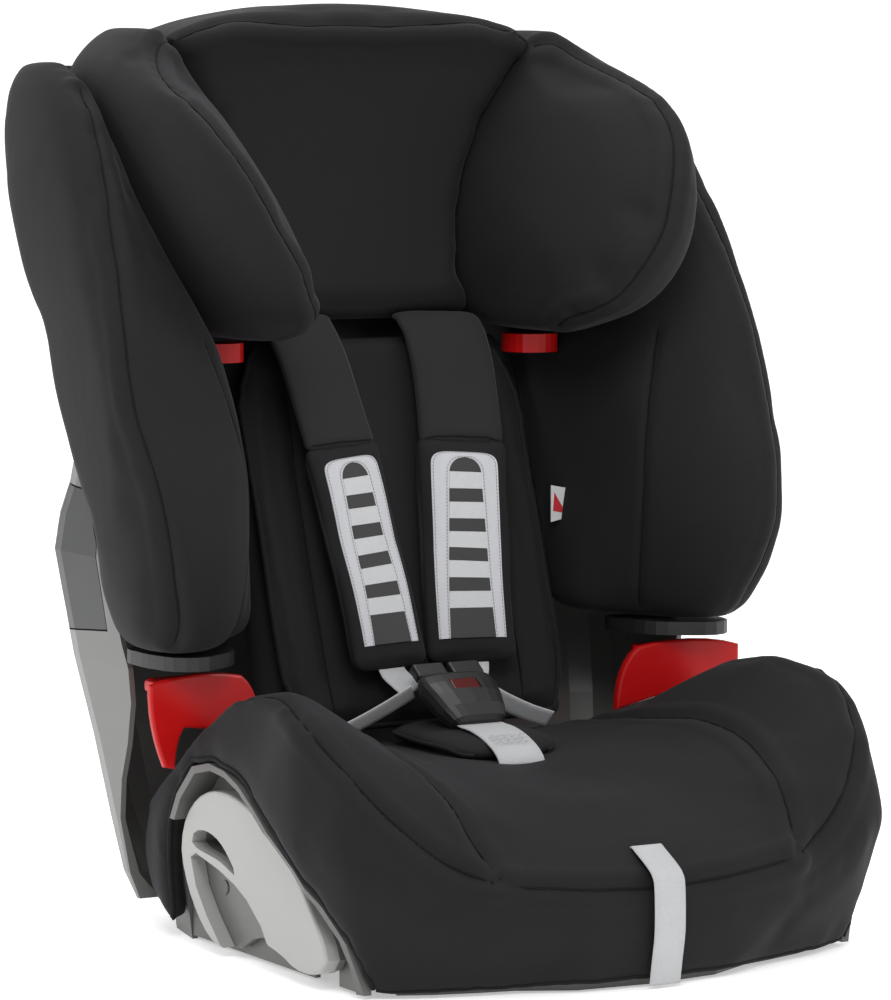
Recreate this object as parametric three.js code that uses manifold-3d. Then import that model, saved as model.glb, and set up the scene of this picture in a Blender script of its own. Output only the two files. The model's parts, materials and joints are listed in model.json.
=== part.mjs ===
// Forward-facing child car seat with a five-point harness, as an assembly of separate parts.
// Millimetres, +Z up, -Y is the front of the seat, X = 0 is its mirror plane.
import * as THREE from 'three';
import { mergeVertices } from 'three/addons/utils/BufferGeometryUtils.js';
import { RoundedBoxGeometry } from 'three/addons/geometries/RoundedBoxGeometry.js';
import Module from 'manifold-3d';

const wasm = await Module();
wasm.setup();

// ---------- driving dimensions ----------
const FLOOR = 14;                  // height datum of the section tables below; the seat stands on it
const GAP = 0.3;                   // running gap between parts that touch
const TILT = THREE.MathUtils.degToRad(18.6);   // lean of the backrest
const SEAT_BACK_Y = 95;            // front face of the back pad where it meets the seat
const SEAT_BACK_Z = 180;
const WALL = 4;                    // moulded shell wall
const STRAP_W = 25;
const STRAP_T = 1.4;
const CROTCH_W = 38;
const HINGE = [158, 44];           // backrest hinge axis, y and z
const LUG_X = 124;                 // hinge lugs of the base, either side of the middle
const FOOT_PIVOT = [26, 62];       // recline foot axis, y and z
const ROD_X = 62;                  // headrest guide rods
const ROD_R = 5;
const INSERT_T = 14;               // layer thicknesses behind the back pad's front face
const PANEL_REAR = 40;
const CARRIER_FRONT = 41;
const CARRIER_REAR = 45;
const ROD_DEPTH = 53;

const UP = new THREE.Vector3(0, Math.sin(TILT), Math.cos(TILT));       // along the backrest
const OUT = new THREE.Vector3(0, -Math.cos(TILT), Math.sin(TILT));     // out of the backrest, forwards
const RIGHT = new THREE.Vector3(1, 0, 0);

// ---------- materials ----------
const slots = {
  fabric_black: [0x17181a, 0.95, 0],
  fabric_charcoal: [0x2a2b2d, 0.9, 0],
  webbing_silver: [0xb9babd, 0.7, 0],
  reflective_trim: [0xc9cacc, 0.6, 0],
  plastic_black: [0x141415, 0.5, 0],
  shell_grey: [0x8c8c8a, 0.45, 0],
  panel_grey: [0x6f6e6a, 0.55, 0],
  foot_grey: [0xa9aaaa, 0.4, 0],
  guide_red: [0xc4161c, 0.25, 0],
  steel: [0xb4b6b8, 0.3, 1],
  label_white: [0xe8e8e8, 0.8, 0],
};
const materials = {};
for (const [name, [color, roughness, metalness]] of Object.entries(slots)) {
  materials[name] = new THREE.MeshStandardMaterial({ color, roughness, metalness });
  materials[name].name = name;
}

// ---------- small geometry tools ----------
const v = (x, y, z) => new THREE.Vector3(x, y, z);
const mirrorPoint = (p) => v(-p.x, p.y, p.z);
const backY = (z) => SEAT_BACK_Y + Math.tan(TILT) * (z - SEAT_BACK_Z);

function table(rows, at) {
  if (at <= rows[0][0]) return rows[0][1];
  for (let i = 1; i < rows.length; i += 1) {
    const [z1, b] = rows[i];
    const [z0, a] = rows[i - 1];
    if (at <= z1) return a + ((b - a) * (at - z0)) / (z1 - z0);
  }
  return rows[rows.length - 1][1];
}

function signedVolume(geometry) {
  const p = geometry.attributes.position;
  const n = geometry.index;
  const [a, b, c] = [v(), v(), v()];
  let sum = 0;
  for (let i = 0; i < n.count; i += 3) {
    a.fromBufferAttribute(p, n.getX(i));
    b.fromBufferAttribute(p, n.getX(i + 1));
    c.fromBufferAttribute(p, n.getX(i + 2));
    sum += a.dot(b.cross(c));
  }
  return sum;
}

function closed(geometry) {
  const bare = geometry.clone();
  for (const name of Object.keys(bare.attributes)) {
    if (name !== 'position') bare.deleteAttribute(name);
  }
  const merged = mergeVertices(bare, 1e-4);
  const kept = [];
  const index = merged.index.array;
  for (let i = 0; i < index.length; i += 3) {
    const [a, b, c] = [index[i], index[i + 1], index[i + 2]];
    if (a !== b && b !== c && a !== c) kept.push(a, b, c);
  }
  merged.setIndex(kept);
  if (signedVolume(merged) < 0) {
    for (let i = 0; i < kept.length; i += 3) [kept[i], kept[i + 1]] = [kept[i + 1], kept[i]];
    merged.setIndex(kept);
  }
  return merged;
}

function solid(geometry) {
  const g = closed(geometry);
  return new wasm.Manifold(new wasm.Mesh({
    numProp: 3,
    vertProperties: new Float32Array(g.attributes.position.array),
    triVerts: new Uint32Array(g.index.array),
  }));
}

function geometryOf(manifold) {
  const mesh = manifold.getMesh();
  const g = new THREE.BufferGeometry();
  g.setAttribute('position', new THREE.BufferAttribute(new Float32Array(mesh.vertProperties), 3));
  g.setIndex(new THREE.BufferAttribute(new Uint32Array(mesh.triVerts), 1));
  return g;
}

function middleOf(ring) {
  const centre = v(0, 0, 0);
  for (const p of ring) centre.addScaledVector(p, 1 / ring.length);
  return centre;
}

// A closed skin through rings of equally many points, with a fan on each end from its hub.
function loft(rings, hubs = []) {
  const n = rings[0].length;
  const points = [];
  const index = [];
  for (const ring of rings) for (const p of ring) points.push(p.x, p.y, p.z);
  for (let r = 0; r + 1 < rings.length; r += 1) {
    for (let i = 0; i < n; i += 1) {
      const j = (i + 1) % n;
      const [a, b, c, d] = [r * n + i, r * n + j, (r + 1) * n + j, (r + 1) * n + i];
      index.push(a, b, c, a, c, d);
    }
  }
  for (const [ring, flip, hub] of [[0, true, hubs[0]], [rings.length - 1, false, hubs[1]]]) {
    const centre = hub || middleOf(rings[ring]);
    const m = points.length / 3;
    points.push(centre.x, centre.y, centre.z);
    for (let i = 0; i < n; i += 1) {
      const [a, b] = [ring * n + i, ring * n + ((i + 1) % n)];
      if (flip) index.push(m, b, a);
      else index.push(m, a, b);
    }
  }
  const g = new THREE.BufferGeometry();
  g.setAttribute('position', new THREE.Float32BufferAttribute(points, 3));
  g.setIndex(index);
  return g;
}

const wholeRing = (half) => [...half, ...half.slice(1, -1).reverse().map(mirrorPoint)];
const flatRing = (points, z) => points.map(([x, y]) => v(x, y, z));

// A strap or pad along a path of points: `across` is its width direction.
function ribbon(path, width, thick, { across = RIGHT, steps = 12, round = 0 } = {}) {
  const curve = new THREE.CatmullRomCurve3(path, false, 'centripetal');
  const rings = [];
  for (let i = 0; i <= steps; i += 1) {
    const p = curve.getPoint(i / steps);
    const along = curve.getTangent(i / steps);
    const normal = v().crossVectors(along, across).normalize();
    const side = v().crossVectors(normal, along).normalize();
    const [w, t, c] = [width / 2, thick / 2, round];
    const section = c > 0
      ? [[-w, -t + c], [-w + c, -t], [w - c, -t], [w, -t + c], [w, t - c], [w - c, t], [-w + c, t],
          [-w, t - c]]
      : [[-w, -t], [w, -t], [w, t], [-w, t]];
    rings.push(section.map(([a, b]) => p.clone().addScaledVector(side, a).addScaledVector(normal, b)));
  }
  return loft(rings);
}

// A flat outline pushed along one axis; the outline is given in the two other axes, in order.
function plate(outline, axis, from, to, bevel = 0) {
  const shape = outline instanceof THREE.Shape ? outline : new THREE.Shape(outline.map(([a,
      b]) => new THREE.Vector2(a, b)));
  const g = new THREE.ExtrudeGeometry(shape, {
    depth: to - from - 2 * bevel,
    bevelEnabled: bevel > 0,
    bevelThickness: bevel,
    bevelSize: bevel,
    bevelOffset: -bevel,
    bevelSegments: 2,
    curveSegments: 6,
  });
  g.translate(0, 0, from + bevel);
  const basis = {
    x: new THREE.Matrix4().set(0, 0, 1, 0, 1, 0, 0, 0, 0, 1, 0, 0, 0, 0, 0, 1),
    y: new THREE.Matrix4().set(1, 0, 0, 0, 0, 0, 1, 0, 0, 1, 0, 0, 0, 0, 0, 1),
    z: new THREE.Matrix4(),
  }[axis];
  return closed(g.applyMatrix4(basis));
}

function rod(from, to, radius, sides = 20) {
  const along = v().subVectors(to, from);
  const g = new THREE.CylinderGeometry(radius, radius, along.length(), sides);
  g.applyQuaternion(new THREE.Quaternion().setFromUnitVectors(v(0, 1, 0), along.clone().normalize()));
  const middle = v().addVectors(from, to).multiplyScalar(0.5);
  return closed(g.translate(middle.x, middle.y, middle.z));
}

function block(centre, size, radius = 0) {
  const g = radius > 0 ? new RoundedBoxGeometry(...size, 2, radius) : new THREE.BoxGeometry(...size);
  return closed(g.translate(...centre));
}

// Places a shape drawn around the origin with local x across, y along `along`, z along `normal`.
function placed(geometry, at, along, normal) {
  const side = v().crossVectors(along, normal).normalize();
  const m = new THREE.Matrix4().makeBasis(side, along.clone().normalize(), normal.clone().normalize());
  m.setPosition(at);
  return closed(geometry.clone().applyMatrix4(m));
}

const smooth = (points, n) => new THREE.CatmullRomCurve3(points, false, 'centripetal').getSpacedPoints(n);
const mirrored = (manifold) => manifold.mirror([1, 0, 0]);

const seat = new THREE.Group();

function add(name, slot, shape) {
  const geometry = shape.getMesh ? geometryOf(shape) : closed(shape);
  geometry.translate(0, 0, -FLOOR);
  geometry.computeVertexNormals();
  const mesh = new THREE.Mesh(geometry, materials[slot]);
  mesh.name = name;
  seat.add(mesh);
}

function addPair(name, slot, rightSide) {
  const right = rightSide.getMesh ? rightSide : solid(rightSide);
  add(`${name}_right`, slot, right);
  add(`${name}_left`, slot, mirrored(right));
}

// ---------- seat base ----------
// Each loop runs from the front centre, round the +X side, to the rear centre.
const loops = {
  hem: [[0, -228, 15.5], [60, -222, 15.5], [100, -201, 15.5], [128, -194, 15.5], [160, -184, 15.5],
    [196, -167, 15.5], [208, -125, 15.5], [212, -69, 15.5], [212, -10, 15.5], [212, 45, 17],
    [211, 100, 26], [200, 150, 38], [100, 151, 38], [0, 151, 38]],
  side: [[0, -235, 55], [60, -234, 56], [112, -225, 62], [148, -215, 75], [190, -203, 95],
    [219, -181, 108], [229, -132, 118], [227, -69, 118], [224, -10, 112], [221, 45, 104],
    [218, 100, 92], [207, 152, 75], [100, 153, 70], [0, 153, 70]],
  outerSeam: [[0, -234, 85], [60, -233, 88], [118, -223, 94], [146, -206, 103], [180, -191, 133],
    [207, -165, 169], [221, -121, 203], [211, -69, 212], [213, -10, 201], [214, 45, 172],
    [212, 95, 140], [203, 146, 112], [100, 149, 104], [0, 149, 104]],
  crest: [[0, -231, 90], [60, -230, 92], [116, -219, 98], [134, -205, 109], [159, -188, 135],
    [181, -160, 166], [190, -118, 194], [186, -69, 207], [186, -10, 197], [186, 45, 171],
    [184, 90, 144], [172, 134, 120], [90, 141, 111], [0, 141, 111]],
  innerSeam: [[0, -228, 93], [58, -227, 95], [113, -214, 102], [124, -202, 113], [131, -178, 137],
    [136, -146, 151], [140, -110, 161], [134, -71, 167], [131, -10, 160], [129, 40, 152],
    [126, 80, 147], [112, 118, 136], [60, 124, 132], [0, 124, 132]],
  panel: [[0, -204, 106], [40, -203, 107], [75, -196, 111], [86, -182, 120], [90, -158, 131],
    [93, -130, 141], [94, -98, 147], [90, -66, 149], [88, -10, 148], [86, 35, 146], [82, 66, 145],
    [70, 96, 142], [35, 102, 140], [0, 102, 140]],
  middle: [[0, -150, 128], [18, -149, 128], [36, -144, 129], [42, -132, 132], [45, -115, 135],
    [46, -96, 138], [46, -75, 141], [46, -52, 143], [45, -12, 143], [43, 22, 143], [40, 44, 142],
    [34, 68, 142], [17, 74, 141], [0, 74, 141]],
};
const seatCentreY = -40;

function seatLoft(inset, drop) {
  const names = Object.keys(loops);
  const sx = 1 - inset / 205;
  const sy = 1 - inset / 190;
  return loft(names.map((name) => wholeRing(loops[name].map(([x, y, z]) => v(
    x * sx, (y - seatCentreY) * sy + seatCentreY, drop[name] === undefined ? z - drop.rest : drop[name],
  )))));
}

const coverSkin = solid(seatLoft(0, { rest: 0 }));
const shellDrop = { rest: 26, hem: FLOOR, side: 70 };
const shellBlock = solid(seatLoft(14, shellDrop));
const shellRoom = solid(seatLoft(14 - GAP, { rest: 26 - 0.6, hem: FLOOR - 2, side: 70 }));
const shellHollow = solid(seatLoft(14 + WALL, { rest: 26 + WALL, hem: FLOOR - 2, side: 70 }));

// Arch-shaped side window of the cover, where the recline foot sits.
const archWindow = [[-168, 0], [-167, 32], [-161, 52], [-144, 76], [-119, 98], [-90, 117], [-60, 132],
  [-32, 144], [-5, 151], [22, 153], [50, 147], [75, 124], [91, 84], [91, 0]];
const sideX = 199;                 // outer face of the grey side panel
const windowCut = solid(plate(archWindow, 'x', 170, 260));
const slotCut = solid(block([0, -204, 108], [60, 9, 40]));

// Moulded base shell: hollow from below, with a slot for the foot's cross bar in each side.
const barSlot = solid(block([0, -112, 24], [420, 34, 76]));
const hingeHole = solid(rod(v(-220, ...HINGE), v(220, ...HINGE), 5 + GAP));
const keel = solid(block([0, -37, FLOOR + 3], [40, 350, 6]));
let shell = shellBlock.subtract(shellHollow).add(keel.intersect(shellBlock)).subtract(barSlot)
    .subtract(slotCut);
const lugOutline = new THREE.Shape();
lugOutline.moveTo(118, 24);
lugOutline.lineTo(HINGE[0], HINGE[1] - 12);
lugOutline.absarc(HINGE[0], HINGE[1], 12, -Math.PI / 2, Math.PI / 2, false);
lugOutline.lineTo(118, 70);
lugOutline.closePath();
let cover = coverSkin.subtract(shellRoom).subtract(windowCut).subtract(mirrored(windowCut))
    .subtract(slotCut);
for (const side of [-1, 1]) {
  shell = shell.add(solid(plate(lugOutline, 'x', side * LUG_X - 3, side * LUG_X + 3)));
  cover = cover.subtract(solid(block([side * (LUG_X + 4), 145, 48], [20, 40, 70])));
}
shell = shell.subtract(hingeHole).subtract(windowCut).subtract(mirrored(windowCut));
add('base_shell', 'panel_grey', shell);
add('seat_cover', 'fabric_black', cover);
add('hinge_rod', 'steel', rod(v(-LUG_X - 15, ...HINGE), v(LUG_X + 15, ...HINGE), 5));

// Grey side panel filling the window behind the foot, and the pin that carries the foot.
const windowMiddle = [-48, 75];
const scaledWindow = (factor, floor) => archWindow.map(([y, z]) => [
  windowMiddle[0] + (y - windowMiddle[0]) * factor,
      Math.max(windowMiddle[1] + (z - windowMiddle[1]) * factor, floor)]);
const panelOutline = scaledWindow(0.99, FLOOR + 3);
panelOutline.splice(1, 1);
const panelRim = solid(plate(panelOutline, 'x', sideX - WALL - 3, 240))
  .subtract(solid(plate(scaledWindow(0.93, 0), 'x', sideX - WALL - 5, 250)))
  .intersect(solid(seatLoft(-1, { rest: 0 })))
  .subtract(solid(block([0, 110, 40], [600, 80, 130])));
const footPin = solid(rod(v(188, ...FOOT_PIVOT), v(203.5, ...FOOT_PIVOT), 5));
const footPinRoom = solid(rod(v(180, ...FOOT_PIVOT), v(204, ...FOOT_PIVOT), 5 + GAP));
const sidePanel = solid(plate(panelOutline, 'x', sideX - WALL - 3, sideX - 3)).add(panelRim)
  .subtract(barSlot).subtract(footPinRoom);
addPair('foot_pin', 'steel', footPin);

// Recline foot: an arch with two lobes, a grip opening and a recessed web.
const footOutline = [[-143, 38], [-136, 30], [-120, 25], [-98, 25], [-78, 31], [-40, 36], [-14, 31],
  [4, 22], [27, 25], [48, 39], [64, 58], [74, 82], [69, 103], [55, 119], [33, 130], [3, 133],
  [-27, 128], [-57, 118], [-86, 102], [-107, 83], [-126, 63], [-140, 46]];
const gripOutline = [[56, 91], [53, 98], [38, 102], [18, 99], [3, 91], [-11, 77], [12, 83]];
const webOutline = [[58, 80], [50, 84], [14, 77], [-10, 70], [-28, 62], [-49, 47], [-70, 20], [-20, 12],
  [4, 16], [34, 42], [50, 60]];
const closedCurve = (outline, n) => new THREE.CatmullRomCurve3(
  outline.map(([a, b]) => v(a, b, 0)), true, 'centripetal').getSpacedPoints(n).slice(0, -1)
      .map((p) => [p.x, p.y]);
const footFace = sideX + 15;
const gripHole = solid(plate(closedCurve(gripOutline, 20), 'x', 180, 240));
const footPlate = plate(closedCurve(footOutline, 48), 'x', sideX - 2.5, footFace, 2);
const foot = solid(footPlate)
  .subtract(gripHole)
  .subtract(solid(plate(webOutline, 'x', sideX + 3.5, 240)))
  .subtract(footPinRoom);
addPair('side_panel', 'panel_grey', sidePanel.subtract(gripHole));
addPair('recline_foot', 'foot_grey', foot);
add('foot_cross_bar', 'steel', rod(v(2.8 - sideX, -112, 52), v(sideX - 2.8, -112, 52), 6));

// ---------- backrest shell ----------
const wingSeamX = [[226, 229], [253, 240], [275, 250], [301, 255], [350, 261], [400, 267], [450, 266],
  [500, 259], [545, 252], [600, 243], [640, 230]];
const wingSeamY = [[226, 34], [253, 22], [275, 10], [301, 6], [326, 7], [350, 14], [400, 37], [450, 55],
  [500, 79], [545, 107], [580, 132], [610, 160], [640, 205]];
const wingOuterX = [[226, 254], [260, 267], [330, 272], [400, 273], [450, 272], [500, 270], [560, 266],
  [600, 261], [630, 252], [648, 238]];
const wingRearX = [[226, 250], [260, 260], [330, 263], [450, 264], [500, 267], [560, 267], [600, 262],
  [630, 254], [648, 240]];
const wingRearY = [[226, 116], [260, 126], [287, 131], [350, 164], [399, 190], [470, 222], [542, 259],
  [600, 284], [648, 292]];
const backRearY = [[34, 165], [44, 182], [54, 190], [95, 207], [153, 220], [210, 238], [290, 256],
  [314, 254], [338, 244], [360, 240], [400, 243], [450, 258], [500, 274], [550, 290], [600, 305],
  [640, 316], [655, 316]];
const backHalfWidth = [[34, 206], [54, 214], [95, 222], [153, 229], [210, 236], [290, 243], [330, 236],
  [400, 228], [500, 226], [560, 220], [600, 208], [640, 185], [655, 160]];
const backFrontY = [[34, 156], [100, 155], [125, 145], [153, 128], [185, 114], [210, 112],
  ...wingRearY.map(([z, y]) => [z, y + 3])];
const shellLevels = [34, 54, 95, 125, 153, 185, 210, 226, 260, 287, 314, 338, 360, 400, 450, 500, 550,
    600, 640, 655];

function shellRing(z, inset, front) {
  const w = table(backHalfWidth, z) - inset;
  const rear = table(backRearY, z) - inset;
  const r = Math.min(46, rear - front - 4);
  const half = [v(0, rear, z), v(w - r, rear, z)];
  for (const t of [22.5, 45, 67.5]) {
    const a = THREE.MathUtils.degToRad(t);
    half.push(v(w - r + r * Math.sin(a), rear - r + r * Math.cos(a), z));
  }
  half.push(v(w, rear - r, z), v(w, front, z), v(0, front, z));
  return wholeRing(half);
}

const trayOuter = solid(loft(shellLevels.map((z) => shellRing(z, 0, table(backFrontY, z)))));
const trayInner = solid(loft(shellLevels.map((z) => shellRing(
  z === 655 ? 651 : z - (z === 34 ? 8 : 0), WALL, table(backFrontY, z) - 60))));
let backShell = trayOuter.subtract(trayInner);

// Ears for the hinge rod, and blocks that hold the headrest guide rods.
const rodAt = (x, z) => v(x, backY(z) + ROD_DEPTH, z);
for (const side of [-1, 1]) {
  const earX = side * (LUG_X + 8);
  const ear = plate([[151, 34], [180, 40], [205, 95], [205, 120], [158, 120], [151, 60]],
      'x', earX - 2.5, earX + 2.5);
  backShell = backShell.add(solid(ear));
  for (const [low, high] of [[262, 288], [590, 612]]) {
    const front = backY(high) + CARRIER_REAR + 2;
    const rear = table(backRearY, (low + high) / 2) - 1.5;
    const mount = block([side * ROD_X, (front + rear) / 2, (low + high) / 2],
        [24, rear - front, high - low]);
    backShell = backShell.add(solid(mount));
  }
  const socket = rod(rodAt(side * ROD_X, 280), rodAt(side * ROD_X, 600), ROD_R + GAP / 2);
  backShell = backShell.subtract(solid(socket));
}
backShell = backShell.subtract(hingeHole.intersect(solid(block([0, HINGE[0], HINGE[1]],
    [2 * LUG_X + 26, 30, 30]))));
backShell = backShell.subtract(solid(block([0, 275, 655], [292, 59, 16])));

// Darker panel let into each side of the shell, with an open seam all round.
const sidePanelOutline = (inset) => [[141 + inset, 234 + inset], [214 - inset, 228 + inset],
  [230 - inset, 290], [214 - inset, 336 - inset], [177 + inset, 334 - inset], [151 + inset, 296]];
const panelCut = solid(plate(sidePanelOutline(0), 'x', 190, 260));
const panelPiece = trayOuter.subtract(trayInner)
    .intersect(solid(plate(sidePanelOutline(1.2), 'x', 190, 260)));
backShell = backShell.subtract(panelCut).subtract(mirrored(panelCut));
add('back_shell', 'shell_grey', backShell);
addPair('back_side_insert', 'panel_grey', panelPiece);

for (const side of [-1, 1]) {
  const name = side > 0 ? 'right' : 'left';
  const guideRod = rod(rodAt(side * ROD_X, 280.5), rodAt(side * ROD_X, 599.5), ROD_R);
  add(`headrest_rod_${name}`, 'steel', guideRod);
}

// ---------- backrest cushions ----------
const backPanelRing = (z, shrink = 0) => {
  const [f, r] = [backY(z) + INSERT_T + GAP + shrink, backY(z) + PANEL_REAR - shrink];
  const w = 133 - shrink;
  return wholeRing([v(0, f, z), v(w - 10, f, z), v(w, f + 6, z), v(w, r - 6, z), v(w - 6, r, z), v(0, r,
      z)]);
};
add('back_pad', 'fabric_black', loft([backPanelRing(146, 5), ...[151, 230, 340,
    438].map((z) => backPanelRing(z)),
  backPanelRing(443, 5)]));

const insertRing = (z, w, shrink = 0) => {
  const f = backY(z) + shrink;
  const r = backY(z) + INSERT_T - shrink;
  const curl = shrink > 0 ? 0 : 1;
  return wholeRing([v(0, f, z), v(w * 0.5, f - curl, z), v(w * 0.8, f - 3 * curl, z), v(w - 3,
      f - 9 * curl, z),
    v(w, f + 1 - 7 * curl, z), v(w - 6, f + 4, z), v(w * 0.8, r, z), v(0, r, z)]);
};
add('insert_pad', 'fabric_black', loft([insertRing(150, 96, 4), insertRing(158, 112), insertRing(185, 122),
  insertRing(235, 125), insertRing(300, 126), insertRing(364, 126), insertRing(406, 122), insertRing(431,
      108),
  insertRing(443, 97, 3)]));

const wingInnerX = [[226, 170], [298, 173], [347, 170], [384, 168], [412, 170], [442, 176], [446, 178],
  [460, 183], [480, 191], [520, 209], [560, 218], [600, 223], [648, 217]];
const wingInnerBend = [[226, 0.62], [300, 0.6], [430, 0.25]];
const HEADREST_ZONE = 444;

function wingRing(z, shrink = 0) {
  const [s, t, o, r, i] = [wingSeamX, wingSeamY, wingOuterX, wingRearY,
      wingInnerX].map((rows) => table(rows, z));
  const q = table(wingRearX, z);
  const back = backY(z);
  const root = 134 + shrink;
  const k = table(wingInnerBend, z);
  const inner = z < HEADREST_ZONE
    ? [[root, back + 16], [i - (k + 0.25) * (i - 134), back - 8 + table([[330, 0], [420, 12]], z)],
      [i - k * (i - 134), t + 44 + 0.54 * (back - 36 - t)], [i, t + 44]]
    : [[root, back + 50], [i - 14, back + 49], [i - 2, back + 38], [i, Math.min(t + 44, back + 20)]];
  const rearRoot = z < HEADREST_ZONE ? back + PANEL_REAR : back + 62;
  const rear = Math.min(rearRoot, table(backRearY, z) - WALL - 1);
  const rearInner = Math.min(205, table(backHalfWidth, z) - 12);
  const lip = [[i + 0.25 * (s - i), t + 20], [i + 0.5 * (s - i), t + 4],
    [Math.max(s - 14, i + 0.7 * (s - i)), t - 6]];
  const outside = [[s, t], [o - 2, t + 20], [(o + q) / 2, (t + r) / 2], [q - 2, r - 16], [q - 16, r]];
  return [...inner, ...lip, ...outside, [rearInner, r - 1], [root, rear]].map(([x, y]) => v(x, y, z));
}
function shrunkRing(ring, z, factor, c = middleOf(ring)) {
  return ring.map((p) => v(c.x + (p.x - c.x) * factor, c.y + (p.y - c.y) * factor, z));
}
const wingLevels = [236, 265, 301, 350, 400, 425, HEADREST_ZONE - 2, HEADREST_ZONE + 2, 470, 500, 545,
    580, 610, 632];
const wingHubs = [v(205, 95, 226), v(219, 304, 645)];
const wing = loft([shrunkRing(wingRing(226), 226, 0.85, wingHubs[0]), ...wingLevels.map((z) => wingRing(z)),
  shrunkRing(wingRing(640), 645, 0.8, wingHubs[1])], wingHubs);
addPair('side_wing', 'fabric_black', wing);

// Top rim between the wings, behind the headrest.
const topRimRing = (z, shrink = 0) => {
  const f = backY(z) + 50 + shrink;
  const r = table(backRearY, z) - WALL - 1 - shrink;
  return wholeRing([v(0, f, z), v(133, f, z), v(133, r, z), v(0, r, z)]);
};
add('top_rim_pad', 'fabric_black', loft([topRimRing(614), topRimRing(640), topRimRing(648, 3)]));

// Moulded base plate under each side wing.
const wingBaseOutline = closedCurve([[166, 112], [168, 84], [178, 60], [198, 44], [216, 36], [232, 44],
  [238, 62], [240, 90], [236, 112], [204, 112]], 28);
addPair('wing_base', 'plastic_black', plate(wingBaseOutline, 'z', 215, 225));

// ---------- lap belt guides, under the side wings ----------
// A front plate that the lap belt runs behind, carried by a web and an arm from the back shell.
const guideOutline = new THREE.Shape();
guideOutline.moveTo(168, 206);
guideOutline.bezierCurveTo(156, 198, 150, 180, 150, 159);
guideOutline.lineTo(184, 168);
guideOutline.lineTo(218, 173);
guideOutline.bezierCurveTo(224, 168, 226, 156, 227, 144);
guideOutline.lineTo(236, 146);
guideOutline.bezierCurveTo(245, 166, 249, 186, 248, 205);
guideOutline.bezierCurveTo(228, 212, 192, 212, 168, 206);
const guideDepth = [60, 67];
const guideTurn = 0.18;            // the plate's outer end stands further forward
const turned = new THREE.Matrix4()
    .set(1, 0, 0, 0, -guideTurn, 1, 0, 200 * guideTurn, 0, 0, 1, 0, 0, 0, 0, 1);
const guidePlate = plate(guideOutline, 'y', ...guideDepth, 2).applyMatrix4(turned);
const guide = solid(guidePlate).add(solid(block([205, 76, 201], [62, 22, 8], 2)))
  .add(solid(block([205, 96, 195], [34, 31, 16], 2)));
addPair('lap_belt_guide', 'guide_red', guide);

// ---------- buckle, tongues and crotch strap ----------
const BUCKLE_TILT = THREE.MathUtils.degToRad(35);
const alongBuckle = v(0, Math.cos(BUCKLE_TILT), Math.sin(BUCKLE_TILT));
const offBuckle = v(0, -Math.sin(BUCKLE_TILT), Math.cos(BUCKLE_TILT));
const BUCKLE_LENGTH = 50;
const buckleAt = v(0, 37.5, 179.3);
const onBuckle = (x, along, off) => buckleAt.clone().setX(x).addScaledVector(alongBuckle, along)
  .addScaledVector(offBuckle, off);
const buckleBox = (x, along, off, size, radius = 0) => placed(
  block([0, 0, 0], size, radius), onBuckle(x, along, off), alongBuckle, offBuckle);

const TONGUE_X = 14;
const tongueHalf = BUCKLE_LENGTH / 2;
// Sections of the buckle along its length: position, half width, half thickness.
const buckleSections = [[-25.5, 18, 5], [-23, 22, 8.5], [-13, 26, 11], [0, 29, 12], [12, 31, 11],
  [21, 30, 9], [25, 28, 6.5]];
const buckleRing = ([along, w, t]) => Array.from({ length: 20 }, (_, i) => {
  const a = (i / 20) * 2 * Math.PI;
  const square = (c) => Math.sign(c) * Math.abs(c) ** 0.6;
  return onBuckle(w * square(Math.cos(a)), along, t * square(Math.sin(a)));
});
let buckle = solid(loft(buckleSections.map(buckleRing)));
for (const side of [-1, 1]) {
  buckle = buckle.subtract(solid(buckleBox(side * TONGUE_X, tongueHalf - 7, 0, [15 + 2 * GAP, 16, 3])));
}
const BUTTON_ALONG = 8;
buckle = buckle.subtract(solid(buckleBox(0, BUTTON_ALONG, 9, [22 + 2 * GAP, 11 + 2 * GAP, 11])));
add('buckle_body', 'plastic_black', buckle);
add('buckle_button', 'guide_red', buckleBox(0, BUTTON_ALONG, 8.8, [22, 11, 4.6], 1));

for (const side of [-1, 1]) {
  const name = side > 0 ? 'right' : 'left';
  const grip = buckleBox(side * (TONGUE_X + 1), tongueHalf + 8, 0, [26, 14, 8], 2);
  const blade = buckleBox(side * TONGUE_X, tongueHalf - 3, 0, [15, 16, 2.2]);
  add(`tongue_${name}`, 'plastic_black', solid(grip).add(solid(blade)));
}

const crotchStrapPath = [v(0, -44, 144.5), v(0, -34, 148.5), v(0, -6, 161.5),
  onBuckle(0, -tongueHalf - 1.2, 0)];
add('crotch_strap', 'webbing_silver', ribbon(crotchStrapPath, CROTCH_W, STRAP_T, { steps: 8 }));
const padRing = (y, w, low, high) => [v(-w, y, low + 3), v(-w + 6, y, low), v(w - 6, y, low), v(w, y,
    low + 3),
  v(w, y, high - 4), v(w - 10, y, high), v(-w + 10, y, high), v(-w, y, high - 4)];
add('crotch_pad', 'fabric_black', loft([padRing(-26, 32, 144.6, 148.6), padRing(-8, 44, 147, 156),
  padRing(30, 46, 147.5, 158), padRing(66, 44, 147.5, 159), padRing(78, 34, 148.5, 157)]));

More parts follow.
